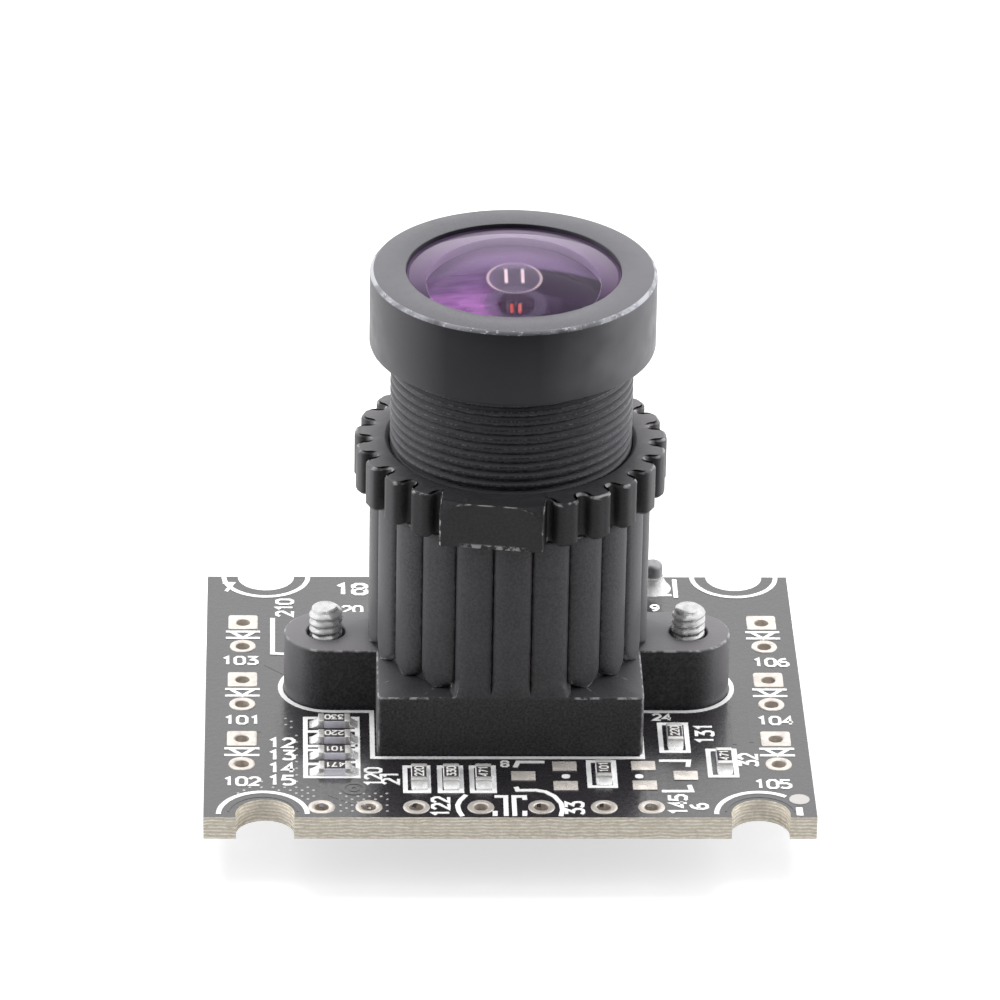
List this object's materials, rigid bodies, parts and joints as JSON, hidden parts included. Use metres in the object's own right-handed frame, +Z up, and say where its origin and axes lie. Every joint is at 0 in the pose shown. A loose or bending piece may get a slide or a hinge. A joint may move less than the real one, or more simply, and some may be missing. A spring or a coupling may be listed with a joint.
{
  "type": "webcam",
  "caption": "Bare webcam board: a small circuit board with a screw-in M12 lens in a fluted mount, a lobed lock nut, chip parts and a cable socket underneath.",
  "frame": {"origin": "middle of the board outline, level with the lowest face of the cable socket", "axes": "+Z up along the lens, +X to the right seen from the front edge, +Y to the rear edge"},
  "size_m": [0.03, 0.025, 0.0284],
  "materials": {
    "solder_mask": "satin",
    "tinned_copper": "satin",
    "mount_plastic": "matte",
    "screw_steel": "bright",
    "lens_metal": "matte",
    "optical_glass": "coated",
    "ring_metal": "matte",
    "chip_plastic": "matte",
    "chip_ceramic": "matte",
    "capacitor_ceramic": "satin",
    "solder": "bright",
    "lead_metal": "satin",
    "silicon": "polished",
    "filter_glass": "coated",
    "crystal_can": "satin",
    "inductor_ferrite": "matte",
    "socket_plastic": "satin",
    "contact_metal": "bright"
  },
  "bodies": {
    "board": {"circuit_board": "solder_mask", "plated_lands": "tinned_copper", "bare_pads": "tinned_copper", "lens_mount": "mount_plastic", "mount_screws": "screw_steel", "image_sensor": "chip_ceramic", "sensor_cover_glass": "silicon", "ir_cut_filter": "filter_glass", "chip_resistors": "chip_ceramic", "chip_capacitors": "capacitor_ceramic", "solder_joints": "solder", "controller_chip": "chip_plastic", "controller_leads": "lead_metal", "memory_chip": "chip_plastic", "memory_leads": "lead_metal", "regulator_chips": "chip_plastic", "regulator_leads": "lead_metal", "crystal": "crystal_can", "power_inductor": "inductor_ferrite", "socket_housing": "socket_plastic", "contact_pins": "contact_metal", "socket_posts": "lead_metal"},
    "lens_stack": {"front_element": "optical_glass", "second_element": "optical_glass", "spacer_ring": "ring_metal", "aperture_stop": "ring_metal", "rear_element": "optical_glass"},
    "lens_barrel": {"lens_barrel": "lens_metal", "rear_retainer": "ring_metal"},
    "lock_nut": {"lock_nut": "mount_plastic"}
  },
  "joints": [
    {"name": "lens_travel", "type": "slide", "parent": "board", "child": "lens_stack", "axis": [0, 0, 1], "range_m": [-0.001, 0.0015]},
    {"name": "lens_turn", "type": "hinge", "parent": "lens_stack", "child": "lens_barrel", "pos_m": [0.00013, 0.0006, 0.02], "axis": [0, 0, 1], "range_deg": [-720, 1080]},
    {"name": "lock_nut_turn", "type": "hinge", "parent": "board", "child": "lock_nut", "pos_m": [0.00013, 0.0006, 0.0172], "axis": [0, 0, 1], "range_deg": [0, 360]}
  ],
  "couplings": [
    {"joint": "lens_travel", "follows": "lens_turn", "m_per_rad": 0.00007957}
  ]
}
